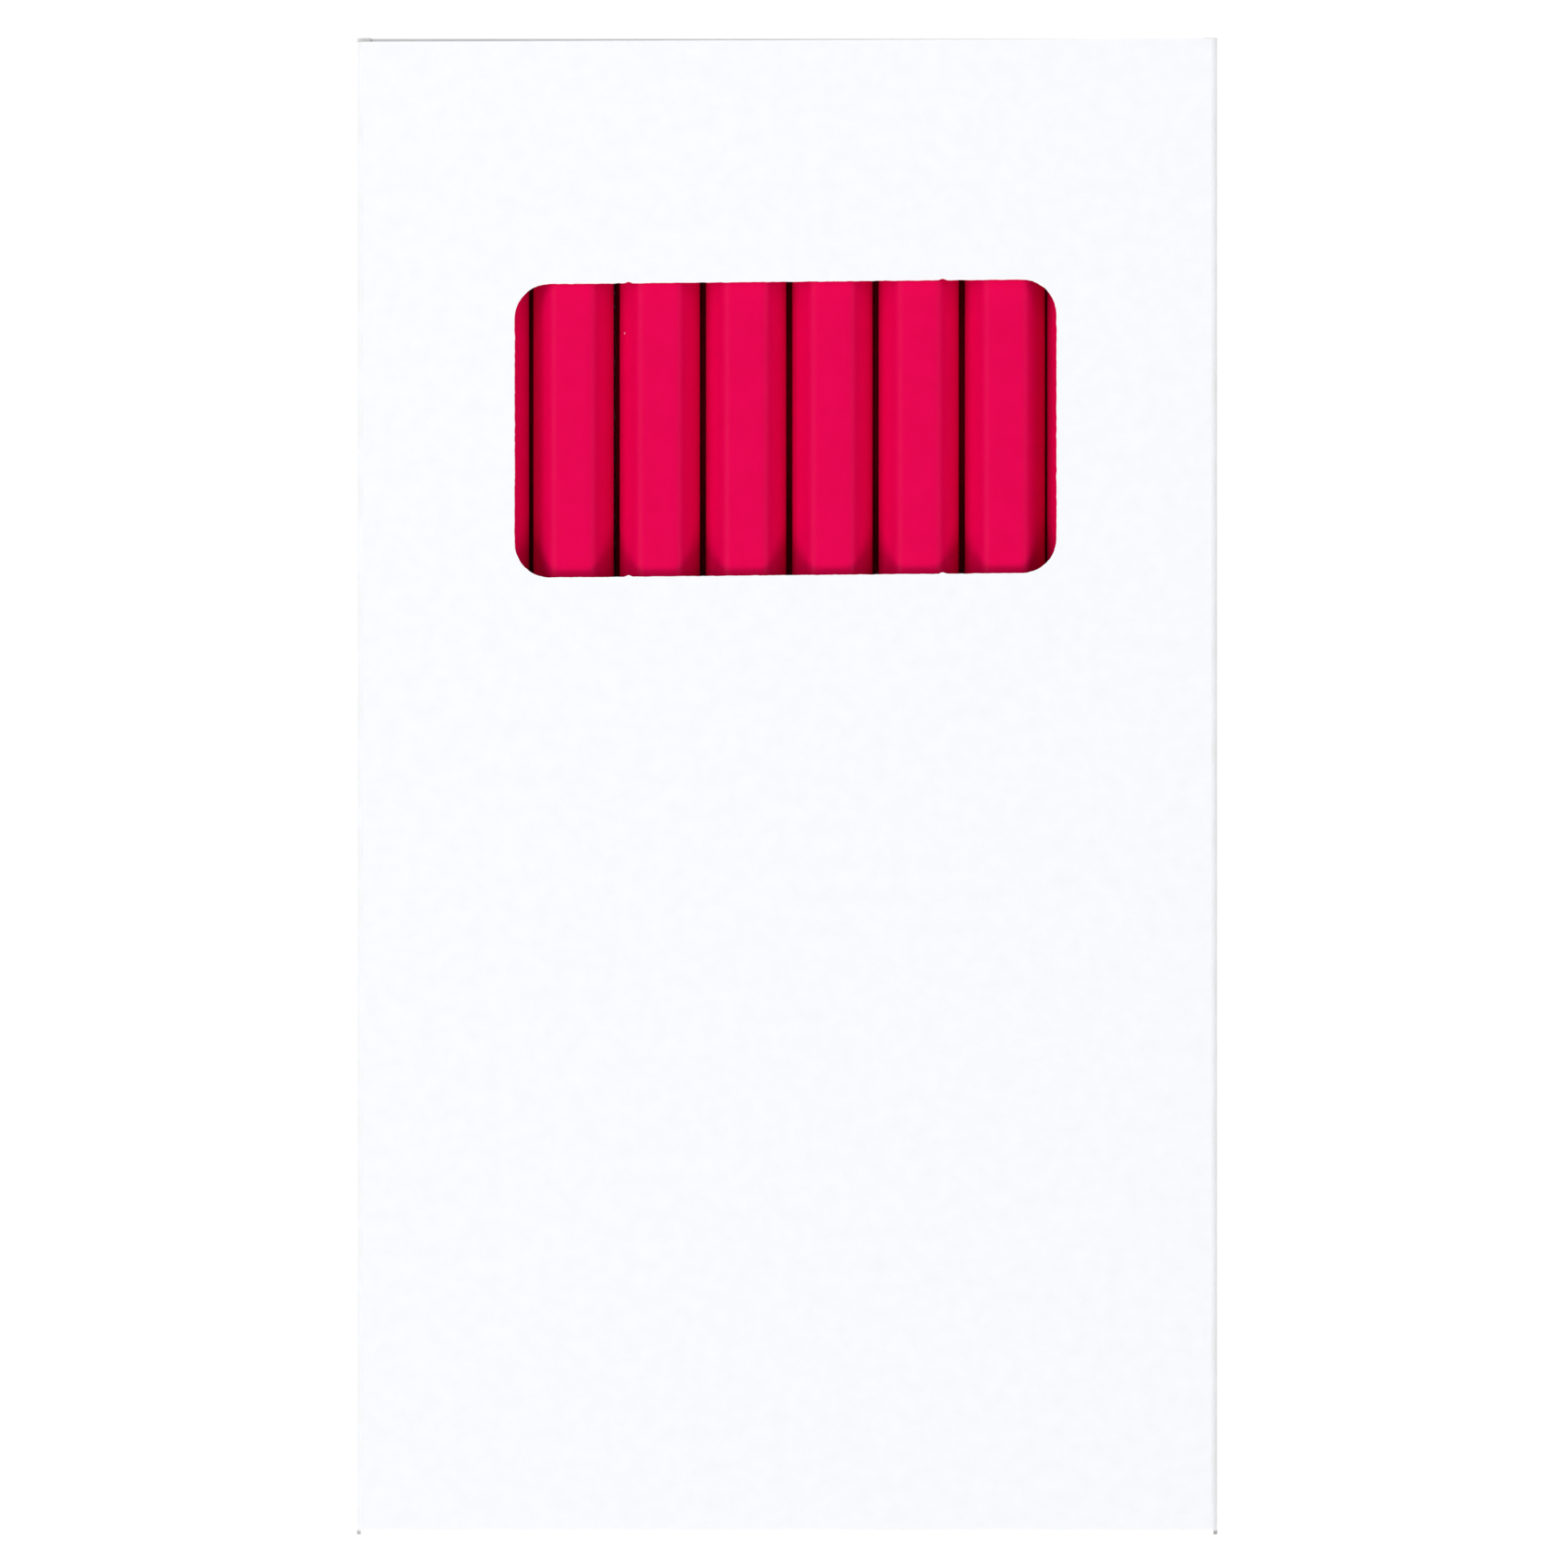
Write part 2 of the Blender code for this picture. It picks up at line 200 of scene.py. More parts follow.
class Shader:
    """A material's node tree, with short names for the nodes that are used here."""

    # The numbers of a Mix node's colour sockets
    MIX_FIRST, MIX_SECOND, MIX_RESULT = 6, 7, 2

    def __init__(self, name):
        self.material = bpy.data.materials.new(name)
        self.material.use_nodes = True
        self.tree = self.material.node_tree
        self.surface = self.tree.nodes["Principled BSDF"]

    def node(self, kind, **values):
        """A new node, with the named inputs or settings."""
        made = self.tree.nodes.new(kind)
        for key, value in values.items():
            if key in made.inputs:
                made.inputs[key].default_value = value
            else:
                setattr(made, key, value)
        return made

    def link(self, source, target):
        self.tree.links.new(source, target)

    def object_space(self, scale=(1, 1, 1)):
        """Places on the piece in metres, squeezed by the scale along each axis."""
        place = self.node("ShaderNodeTexCoord")
        mapping = self.node("ShaderNodeMapping")
        mapping.inputs["Scale"].default_value = scale
        self.link(place.outputs["Object"], mapping.inputs["Vector"])
        return mapping.outputs["Vector"]

    def noise(self, vector, size, detail=3.0, roughness=0.55):
        """Noise with features about size metres across."""
        made = self.node("ShaderNodeTexNoise", Scale=1 / size, Detail=detail, Roughness=roughness)
        self.link(vector, made.inputs["Vector"])
        return made.outputs["Fac"]

    def between(self, value, low, high, to_low=0.0, to_high=1.0):
        """Carry the range from low to high over to another range, and clamp it there."""
        made = self.node("ShaderNodeMapRange")
        made.inputs["From Min"].default_value = low
        made.inputs["From Max"].default_value = high
        made.inputs["To Min"].default_value = to_low
        made.inputs["To Max"].default_value = to_high
        self.link(value, made.inputs["Value"])
        return made.outputs["Result"]

    def math(self, operation, first, second):
        """Arithmetic on two values, each a number or a socket."""
        made = self.node("ShaderNodeMath", operation=operation)
        for socket, value in zip(made.inputs, (first, second)):
            if isinstance(value, (int, float)):
                socket.default_value = value
            else:
                self.link(value, socket)
        return made.outputs["Value"]

    def mix(self, share, first, second):
        """Blend two colours, each a tuple or a socket, by a share socket."""
        made = self.node("ShaderNodeMix", data_type="RGBA")
        for number, value in ((self.MIX_FIRST, first), (self.MIX_SECOND, second)):
            if isinstance(value, tuple):
                made.inputs[number].default_value = (*value, 1.0)
            else:
                self.link(value, made.inputs[number])
        self.link(share, made.inputs["Factor"])
        return made.outputs[self.MIX_RESULT]

    def specks(self, vector, spacing, radius, kept, seed_offset):
        """Sparse round specks: one possible in each cell of the spacing, and a share kept."""
        shift = self.node("ShaderNodeVectorMath", operation="ADD")
        shift.inputs[1].default_value = (seed_offset,) * 3
        self.link(vector, shift.inputs[0])
        cells = self.node("ShaderNodeTexVoronoi", Scale=1 / spacing)
        self.link(shift.outputs["Vector"], cells.inputs["Vector"])
        edge = radius / spacing
        near = self.between(cells.outputs["Distance"], edge, 0.6 * edge)
        parts = self.node("ShaderNodeSeparateColor")
        self.link(cells.outputs["Color"], parts.inputs["Color"])
        chosen = self.math("GREATER_THAN", parts.outputs["Red"], 1 - kept)
        return self.math("MULTIPLY", near, chosen)

    def bump(self, height, distance, strength, after=None):
        """Raise the surface by the height times the distance, on top of an earlier bump."""
        made = self.node("ShaderNodeBump", Strength=strength, Distance=distance)
        self.link(height, made.inputs["Height"])
        if after is not None:
            self.link(after, made.inputs["Normal"])
        return made.outputs["Normal"]


def coated_board():
    """The outer side's white clay coat: faint mottle, fine grain and a few stray specks."""
    s = Shader("coated_board")
    place = s.object_space()
    mottle = s.between(s.noise(place, 1.6 * MM, 4.0), 0.3, 0.7)
    colour = s.mix(mottle, (0.886, 0.894, 0.918), (0.912, 0.919, 0.938))
    grain = s.between(s.noise(place, 0.16 * MM, 2.0), 0.25, 0.75)
    colour = s.mix(s.between(grain, 0, 1, 0.0, 0.10), colour, (0.80, 0.81, 0.84))
    rust = s.specks(place, 17 * MM, 0.22 * MM, 0.35, 0.013)
    colour = s.mix(s.math("MULTIPLY", rust, 0.55), colour, (0.62, 0.36, 0.22))
    grey = s.specks(place, 11 * MM, 0.16 * MM, 0.30, 0.037)
    colour = s.mix(s.math("MULTIPLY", grey, 0.45), colour, (0.42, 0.38, 0.38))
    s.link(colour, s.surface.inputs["Base Color"])
    s.link(s.between(mottle, 0, 1, 0.50, 0.62), s.surface.inputs["Roughness"])
    s.surface.inputs["Specular IOR Level"].default_value = 0.3
    waves = s.bump(s.noise(place, 14 * MM, 2.0), 0.10 * MM, 0.5)
    fibres = s.bump(s.noise(place, 0.45 * MM, 4.0), 0.012 * MM, 0.6, waves)
    s.link(s.bump(grain, 0.006 * MM, 0.7, fibres), s.surface.inputs["Normal"])
    return s.material


def plain_board():
    """The uncoated inside: softer, a shade warmer, with the fibres showing."""
    s = Shader("plain_board")
    place = s.object_space()
    cloudy = s.between(s.noise(place, 2.2 * MM, 5.0), 0.3, 0.7)
    colour = s.mix(cloudy, (0.80, 0.79, 0.76), (0.86, 0.85, 0.83))
    hairs = s.noise(s.object_space((1.0, 0.22, 1.0)), 0.12 * MM, 3.0)
    colour = s.mix(s.between(hairs, 0.55, 0.8, 0.0, 0.25), colour, (0.68, 0.65, 0.60))
    s.link(colour, s.surface.inputs["Base Color"])
    s.surface.inputs["Roughness"].default_value = 0.85
    s.surface.inputs["Specular IOR Level"].default_value = 0.2
    s.link(s.bump(hairs, 0.02 * MM, 0.8), s.surface.inputs["Normal"])
    return s.material


def cut_board():
    """The die-cut edge: layers of pulp between the two faces, roughened by the blade."""
    s = Shader("cut_board")
    layers = s.noise(s.object_space((0.25, 0.25, 1.0)), 0.07 * MM, 3.0)
    colour = s.mix(s.between(layers, 0.3, 0.7), (0.84, 0.83, 0.81), (0.92, 0.915, 0.905))
    s.link(colour, s.surface.inputs["Base Color"])
    s.surface.inputs["Roughness"].default_value = 0.9
    s.surface.inputs["Specular IOR Level"].default_value = 0.15
    s.link(s.bump(layers, 0.03 * MM, 0.8), s.surface.inputs["Normal"])
    return s.material


def creased_board():
    """The coat over a fold: stretched, a little polished, with hairline cracks along it."""
    s = Shader("creased_board")
    place = s.object_space()
    handled = s.between(s.noise(place, 5 * MM, 4.0), 0.35, 0.75)
    colour = s.mix(handled, (0.895, 0.902, 0.925), (0.845, 0.845, 0.850))
    cracks = s.noise(place, 0.10 * MM, 5.0, 0.7)
    worn = s.math("MULTIPLY", s.between(cracks, 0.58, 0.72), handled)
    colour = s.mix(s.math("MULTIPLY", worn, 0.5), colour, (0.62, 0.60, 0.57))
    s.link(colour, s.surface.inputs["Base Color"])
    s.link(s.between(cracks, 0.3, 0.7, 0.42, 0.68), s.surface.inputs["Roughness"])
    s.surface.inputs["Specular IOR Level"].default_value = 0.3
    s.link(s.bump(cracks, 0.02 * MM, 0.7), s.surface.inputs["Normal"])
    return s.material


def let_light_in(s):
    """Wax's soft translucency, which carries red further than green and blue."""
    s.surface.inputs["Subsurface Weight"].default_value = 0.12
    s.surface.inputs["Subsurface Radius"].default_value = (1.0, 0.15, 0.25)
    s.surface.inputs["Subsurface Scale"].default_value = 0.5 * MM


def crayon_wax():
    """Pressed pigmented wax: saturated, with drag lines along the stick and specks of dust."""
    s = Shader("crayon_wax")
    place = s.object_space()
    cloud = s.between(s.noise(place, 3.0 * MM, 4.0), 0.3, 0.7)
    colour = s.mix(cloud, (0.735, 0.0, 0.076), (0.765, 0.0, 0.083))
    drag = s.noise(s.object_space((1.0, 0.02, 1.0)), 0.22 * MM, 4.0, 0.6)
    colour = s.mix(s.between(drag, 0.60, 0.80, 0.0, 0.12), colour, (0.68, 0.0, 0.062))
    scuff = s.noise(s.object_space((1.0, 0.35, 1.0)), 1.1 * MM, 6.0, 0.7)
    colour = s.mix(s.between(scuff, 0.66, 0.84, 0.0, 0.10), colour, (0.86, 0.03, 0.15))
    dust = s.specks(place, 6 * MM, 0.13 * MM, 0.30, 0.021)
    colour = s.mix(s.math("MULTIPLY", dust, 0.75), colour, (0.95, 0.60, 0.66))
    s.link(colour, s.surface.inputs["Base Color"])
    s.link(s.between(scuff, 0.3, 0.8, 0.40, 0.58), s.surface.inputs["Roughness"])
    s.surface.inputs["Specular IOR Level"].default_value = 0.05
    let_light_in(s)
    lines = s.bump(drag, 0.012 * MM, 0.6)
    pits = s.bump(s.noise(place, 0.5 * MM, 4.0), 0.010 * MM, 0.6, lines)
    s.link(s.bump(dust, 0.05 * MM, 0.5, pits), s.surface.inputs["Normal"])
    return s.material


def turned_wax():
    """The pointed end, turned to shape: the same wax with fine rings round the cone."""
    s = Shader("turned_wax")
    place = s.object_space()
    cloud = s.between(s.noise(place, 2.0 * MM, 4.0), 0.3, 0.7)
    colour = s.mix(cloud, (0.70, 0.0, 0.075), (0.755, 0.004, 0.090))
    rings = s.node("ShaderNodeTexWave", wave_type="BANDS", bands_direction="Y")
    rings.inputs["Scale"].default_value = 1 / (6.5 * MM)
    rings.inputs["Distortion"].default_value = 1.2
    rings.inputs["Detail"].default_value = 2.0
    s.link(place, rings.inputs["Vector"])
    crumbs = s.noise(place, 0.3 * MM, 5.0, 0.7)
    colour = s.mix(s.between(crumbs, 0.60, 0.80, 0.0, 0.25), colour, (0.88, 0.14, 0.27))
    s.link(colour, s.surface.inputs["Base Color"])
    s.link(s.between(crumbs, 0.3, 0.7, 0.42, 0.60), s.surface.inputs["Roughness"])
    s.surface.inputs["Specular IOR Level"].default_value = 0.25
    let_light_in(s)
    ringed = s.bump(rings.outputs["Fac"], 0.03 * MM, 0.7)
    s.link(s.bump(crumbs, 0.015 * MM, 0.6, ringed), s.surface.inputs["Normal"])
    return s.material


def pale_floor():
    """A seamless pale table. It gives off light, so that no shadow dulls its clean white."""
    s = Shader("pale_floor")
    cloud = s.noise(s.object_space(), 60 * MM, 2.0)
    s.link(s.mix(cloud, (0.11, 0.11, 0.112), (0.13, 0.13, 0.132)), s.surface.inputs["Base Color"])
    s.surface.inputs["Roughness"].default_value = 0.8
    s.surface.inputs["Specular IOR Level"].default_value = 0.1
    s.surface.inputs["Emission Color"].default_value = (1.0, 1.0, 1.0, 1.0)
    s.surface.inputs["Emission Strength"].default_value = 0.95
    return s.material


COATED = coated_board()
PLAIN = plain_board()
CUT = cut_board()
CREASED = creased_board()
WAX = crayon_wax()
TURNED = turned_wax()


# ---------------------------------------------------------------- outlines


def rectangle(left, bottom, right, top):
    """The corners of a rectangle, from its lower left one round to its upper left one."""
    return [(left, bottom), (right, bottom), (right, top), (left, top)]


def rounded(corners):
    """Round each (x, y, radius) corner of a convex outline with an arc; radius 0 stays sharp."""
    outline = []
    for index, (x, y, radius) in enumerate(corners):
        corner = Vector((x, y))
        if radius == 0:
            outline.append(corner)
            continue
        before = (Vector(corners[index - 1][:2]) - corner).normalized()
        after = (Vector(corners[(index + 1) % len(corners)][:2]) - corner).normalized()
        half_angle = before.angle(after) / 2
        centre = corner + (before + after).normalized() * radius / math.sin(half_angle)
        trim = radius / math.tan(half_angle)
        start = (corner + before * trim - centre).normalized()
        end = (corner + after * trim - centre).normalized()
        for step in range(CORNER_STEPS + 1):
            outline.append(centre + start.slerp(end, step / CORNER_STEPS) * radius)
    return outline


def die_cut(outline):
    """Walk round an outline in short steps, each point pushed a little by the torn fibres."""
    points = []
    for index, start in enumerate(outline):
        end = outline[(index + 1) % len(outline)]
        run = end - start
        if run.length < SHORTEST_RUN:
            continue
        normal = Vector((run.y, -run.x)).normalized()
        count = max(1, round(run.length / CUT_STEP))
        for number in range(count):
            point = start.lerp(end, number / count)
            place = Vector((point.x, point.y, CUT_NOISE_Z)) / CUT_NOISE_SIZE
            torn = noise.fractal(place, *CUT_OCTAVES)
            points.append(point + normal * CUT_RAGGEDNESS * torn)
    return points


def window_outline():
    """The die-cut window, with the small nicks that once held the waste piece."""
    top = cad_high.y - WINDOW_FROM_LID_END
    middle = (WINDOW_LEFT + WINDOW_RIGHT) / 2
    corners = []
    for x, y in rectangle(WINDOW_LEFT, top - WINDOW_HEIGHT, WINDOW_RIGHT, top):
        corners.append((x, y + (x - middle) * math.tan(WINDOW_SKEW), WINDOW_CORNER_RADIUS))
    points = die_cut(rounded(corners))
    for share in NICK_SHARES:
        nick_x = WINDOW_LEFT + share * (WINDOW_RIGHT - WINDOW_LEFT)
        for point in points:
            away = abs(point.x - nick_x) / NICK_WIDTH
            if away < 1:
                point.y += NICK_DEPTH * (1 - away) ** 0.5
    return points


# ---------------------------------------------------------------- board pieces


def finish(name, mesh, materials, node=None, smooth=BOARD_SMOOTH_ANGLE):
    """Turn a bmesh into a shown piece that stands for a CAD node, if one is named."""
    bmesh.ops.recalc_face_normals(mesh, faces=mesh.faces[:])
    data = bpy.data.meshes.new(name)
    mesh.to_mesh(data)
    mesh.free()
    for material in materials:
        data.materials.append(material)
    data.shade_smooth()
    data.set_sharp_from_angle(angle=smooth)
    piece = bpy.data.objects.new(name, data)
    bpy.context.scene.collection.objects.link(piece)
    if node:
        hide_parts(node)
    return piece


def plate(node, outline, across, up, origin, body="carton", opening=None):
    """A flat panel of board for a CAD node. Its coated face looks along across x up.

    The points of its outline and opening lie along across and up from the origin.
    """
    normal = across.cross(up).normalized()
    mesh = bmesh.new()
    edges = []
    for loop in (outline, opening or []):
        ring = []
        for point in loop:
            place = origin + across * point[0] + up * point[1] - normal * BOARD / 2
            ring.append(mesh.verts.new(place))
        for index, vertex in enumerate(ring):
            edges.append(mesh.edges.new((ring[index - 1], vertex)))
    bmesh.ops.triangle_fill(mesh, edges=edges, use_beauty=True)
    grown = bmesh.ops.extrude_face_region(mesh, geom=mesh.faces[:])
    moved = [item for item in grown["geom"] if isinstance(item, bmesh.types.BMVert)]
    bmesh.ops.translate(mesh, verts=moved, vec=normal * BOARD)
    bmesh.ops.recalc_face_normals(mesh, faces=mesh.faces[:])
    for face in mesh.faces:
        facing = round(face.normal.dot(normal))
        face.material_index = {1: FACE_SLOT, -1: INSIDE_SLOT}.get(facing, CUT_SLOT)
    piece = finish(f"{node}_board", mesh, (COATED, PLAIN, CUT), node)
    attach(piece, body)


def reach(turn, radius=CREASE_RADIUS):
    """How far from the corner of two mid-planes a crease's bend begins."""
    return radius * math.tan(turn / 2)


def crease(name, ends, arriving, leaving, body="carton", to_body=None, radius=CREASE_RADIUS):
    """The bend between two panels whose mid-planes meet on the line between ends.

    The board comes in along arriving and goes on along leaving. With to_body, the bend stands
    between two bodies and is attached to neither of them.
    """
    turn = arriving.angle(leaving)
    inner = (leaving - arriving * arriving.dot(leaving)).normalized()
    mesh = bmesh.new()
    sections = []
    for step in range(CREASE_STEPS + 1):
        angle = turn * step / CREASE_STEPS
        outward = arriving * math.sin(angle) - inner * math.cos(angle)
        section = []
        for end in ends:
            centre = end - arriving * reach(turn, radius) + inner * radius
            for side in (-1, 1):
                place = centre + outward * (radius + side * BOARD / 2)
                section.append(mesh.verts.new(place))
        sections.append(section)
    # Each strip runs between two corners of the section, in one of the board's materials
    strips = ((1, 3, FACE_SLOT), (0, 2, INSIDE_SLOT), (0, 1, CUT_SLOT), (2, 3, CUT_SLOT))
    for near, far in zip(sections, sections[1:]):
        for first, second, slot in strips:
            face = mesh.faces.new((near[first], near[second], far[second], far[first]))
            face.material_index = slot
    for section in (sections[0], sections[-1]):
        face = mesh.faces.new((section[0], section[1], section[3], section[2]))
        face.material_index = CUT_SLOT
    piece = finish(name, mesh, (CREASED, PLAIN, CUT))
    if to_body is None:
        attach(piece, body)
        return
    middle = (ends[0] + ends[1]) / 2
    end = middle + leaving * reach(turn, radius)
    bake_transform(piece)


# The length that a right-angled crease takes from each of its two panels
BEND = reach(math.pi / 2)


def along_x(y, z, half_width):
    """The two ends of a line along X, centred on the carton."""
    return Vector((-half_width, y, z)), Vector((half_width, y, z))


def along_y(x, z, start, end):
    """The two ends of a line along Y."""
    return Vector((x, start, z)), Vector((x, end, z))


def along_z(x, y, start, end):
    """The two ends of a line along Z."""
    return Vector((x, y, start)), Vector((x, y, end))


def make_front_panel():
    """The panel with the window, and its creases to the base and to both sides."""
    flat = HALF_WIDTH - BOARD / 2 - BEND
    base = OUTER_MID_Y + BEND
    end_left = cad_high.y - SLIT_LEFT
    end_right = cad_high.y - SLIT_RIGHT
    outline = [(-flat, base), (flat, base), (flat, end_right), (-flat, end_left)]
    plate("front_panel", outline, X, Y, Z * FRONT_MID_Z, opening=window_outline())
    ends = along_x(OUTER_MID_Y, FRONT_MID_Z, HALF_WIDTH - BEND)
    crease("front_base_crease", ends, -Y, -Z)
    ends = along_y(SIDE_MID_X, FRONT_MID_Z, base - BEND / 2, end_right)
    crease("front_right_crease", ends, X, -Z)
    ends = along_y(-SIDE_MID_X, FRONT_MID_Z, base - BEND / 2, end_left)
    crease("front_left_crease", ends, -X, -Z)


def make_side_panels():
    """The right panel stops at the glue flap, and the left one goes down to the back panel."""
    start = BASE_DUST_MID_Y + BEND
    end = DUST_MID_Y - BEND
    top = FRONT_MID_Z - BEND
    outline = rectangle(start, GLUE_MID_Z + BEND, end, top)
    plate("right_side_panel", outline, Y, Z, X * SIDE_MID_X)
    outline = rectangle(-end, BACK_MID_Z + BEND, -start, top)
    plate("left_side_panel", outline, -Y, Z, -X * SIDE_MID_X)
    ends = along_y(-SIDE_MID_X, BACK_MID_Z, start, BACK_HIGH.y)
    crease("back_left_crease", ends, -Z, X)


def make_back_panel():
    """The panel that the carton lies on, from the base's inner flap to the lid."""
    start = INNER_MID_Y + BEND
    end = LID_MID_Y - BEND
    outline = rectangle(-HALF_WIDTH, start, HALF_WIDTH - BOARD / 2 - BEND, end)
    plate("back_panel", outline, -X, Y, Z * BACK_MID_Z)


def make_glue_flap():
    """The right panel's flap, with tapered ends, which is glued inside the back panel."""
    outer = SIDE_MID_X - BEND
    start = GLUE_LOW.y
    end = GLUE_HIGH.y
    outline = [
        (-outer, start),
        (-GLUE_LOW.x, start + GLUE_FLAP_TAPER),
        (-GLUE_LOW.x, end - GLUE_FLAP_TAPER),
        (-outer, end),
    ]
    plate("glue_flap", outline, -X, Y, Z * GLUE_MID_Z)
    crease("glue_flap_crease", along_y(SIDE_MID_X, GLUE_MID_Z, start, end), -Z, -X)


def make_base():
    """The closed end: the outer flap over the inner one, with the dust flaps inside both."""
    outer = rectangle(-HALF_WIDTH, cad_low.z + BASE_LIFT, HALF_WIDTH, FRONT_MID_Z - BEND)
    plate("bottom_outer_flap", outer, X, Z, Y * OUTER_MID_Y)
    inner = rectangle(INNER_LOW.x, BACK_MID_Z + BEND, INNER_HIGH.x, INNER_HIGH.z)
    plate("bottom_inner_flap", inner, X, Z, Y * INNER_MID_Y)
    crease("back_base_crease", along_x(INNER_MID_Y, BACK_MID_Z, INNER_HIGH.x), -Y, Z)
    root = SIDE_MID_X - BEND
    free = root - (BASE_DUST_HIGH.x - BASE_DUST_LOW.x)
    low = BASE_DUST_LOW.z + BOARD
    high = BASE_DUST_HIGH.z
    for name, side in (("left", -1), ("right", 1)):
        left, right = sorted((side * root, side * free))
        outline = rectangle(left, low, right, high)
        plate(f"bottom_dust_flap_{name}", outline, X, Z, Y * BASE_DUST_MID_Y)
        ends = along_z(side * SIDE_MID_X, BASE_DUST_MID_Y, low, high)
        crease(f"base_dust_crease_{name}", ends, -Y, -X * side)


def make_tuck_lid():
    """The lid with its ears, and the tongue that leans a little inwards from its far edge."""
    trim = reach(math.pi / 2 + TONGUE_TILT, TONGUE_CREASE_RADIUS)
    half_width = TONGUE_HIGH.x
    ear_start = half_width + EAR_GAP
    root = BACK_MID_Z + BEND
    shoulder = TONGUE_HINGE_Z - trim
    right_half = [
        (HALF_WIDTH, root),
        (HALF_WIDTH, TONGUE_HIGH.z),
        (ear_start, TONGUE_HIGH.z),
        (ear_start, shoulder),
    ]
    outline = right_half + [(-x, z) for x, z in reversed(right_half)]
    plate("tuck_lid", outline, -X, Z, Y * LID_MID_Y, body="tuck_lid")
    ends = along_x(LID_MID_Y, BACK_MID_Z, HALF_WIDTH)
    crease("lid_crease", ends, Y, Z, to_body="tuck_lid")
    inward = Matrix.Rotation(TONGUE_TILT, 3, "X") @ -Y
    free_half_width = half_width - TONGUE_TAPER
    hinge = Vector((0, LID_MID_Y, TONGUE_HINGE_Z))
    outline = rounded([
        (-half_width, trim, 0),
        (half_width, trim, 0),
        (free_half_width, TONGUE_LENGTH, TONGUE_CORNER_RADIUS),
        (-free_half_width, TONGUE_LENGTH, TONGUE_CORNER_RADIUS),
    ])
    plate("tuck_tongue", outline, -X, inward, hinge, body="tuck_tongue")
    ends = along_x(LID_MID_Y, TONGUE_HINGE_Z, half_width)
    crease("tongue_crease", ends, Z, inward, "tuck_lid", "tuck_tongue", TONGUE_CREASE_RADIUS)


def make_top_dust_flaps():
    """The side panels' flaps under the lid, narrower towards their rounded ends."""
    low, high = DUST_FLAP_ROOT_Z
    outline = rounded([
        (BEND, low, 0),
        (DUST_FLAP_WIDTH, DUST_FLAP_TIP_Z[0], DUST_FLAP_CORNER_RADIUS),
        (DUST_FLAP_WIDTH, DUST_FLAP_TIP_Z[1], DUST_FLAP_CORNER_RADIUS),
        (BEND, high, 0),
    ])
    for name, side in (("left", -1), ("right", 1)):
        node = f"top_dust_flap_{name}"
        origin = Vector((side * SIDE_MID_X, DUST_MID_Y, 0))
        flap = [(side * point.x, point.y) for point in outline]
        plate(node, flap, -X, Z, origin, body=node)
        ends = along_z(side * SIDE_MID_X, DUST_MID_Y, low, high)
        crease(f"{node}_crease", ends, Y, -X * side, to_body=node)


# ---------------------------------------------------------------- crayons


def hexagon():
    """A crayon's cross-section, a flat facing up, as points in the X-Z plane."""
    arc_centre = (ACROSS_FLATS / 2 - HEX_EDGE_RADIUS) / COS_30
    turn = math.tau / HEX_SIDES
    arcs = []
    for side in range(HEX_SIDES):
        angle = side * turn
        centre = Vector((math.cos(angle), math.sin(angle))) * arc_centre
        arc = []
        for step in range(HEX_ARC_STEPS + 1):
            swing = angle + (step / HEX_ARC_STEPS - 0.5) * turn
            arc.append(centre + Vector((math.cos(swing), math.sin(swing))) * HEX_EDGE_RADIUS)
        arcs.append(arc)
    points = []
    for side, arc in enumerate(arcs):
        points.extend(arc)
        following = arcs[(side + 1) % HEX_SIDES][0]
        for step in range(1, HEX_FLAT_STEPS):
            points.append(arc[-1].lerp(following, step / HEX_FLAT_STEPS))
    return points


def wax_surface(place, y, seed):
    """How far the pressed wax lies under its ideal surface: slow waves and a few small dents."""
    spot = Vector((place.x, y * WAX_STRETCH, place.y)) / WAX_WAVE_SIZE
    spot += Vector((0, seed * WAX_SEED_STEP, 0))
    waves = 0.5 + 0.5 * noise.noise(spot)
    dents = 0.5 + 0.5 * noise.noise(spot * WAX_DENTS_PER_WAVE)
    return WAX_UNEVENNESS * ((1 - WAX_DENT_SHARE) * waves + WAX_DENT_SHARE * dents)


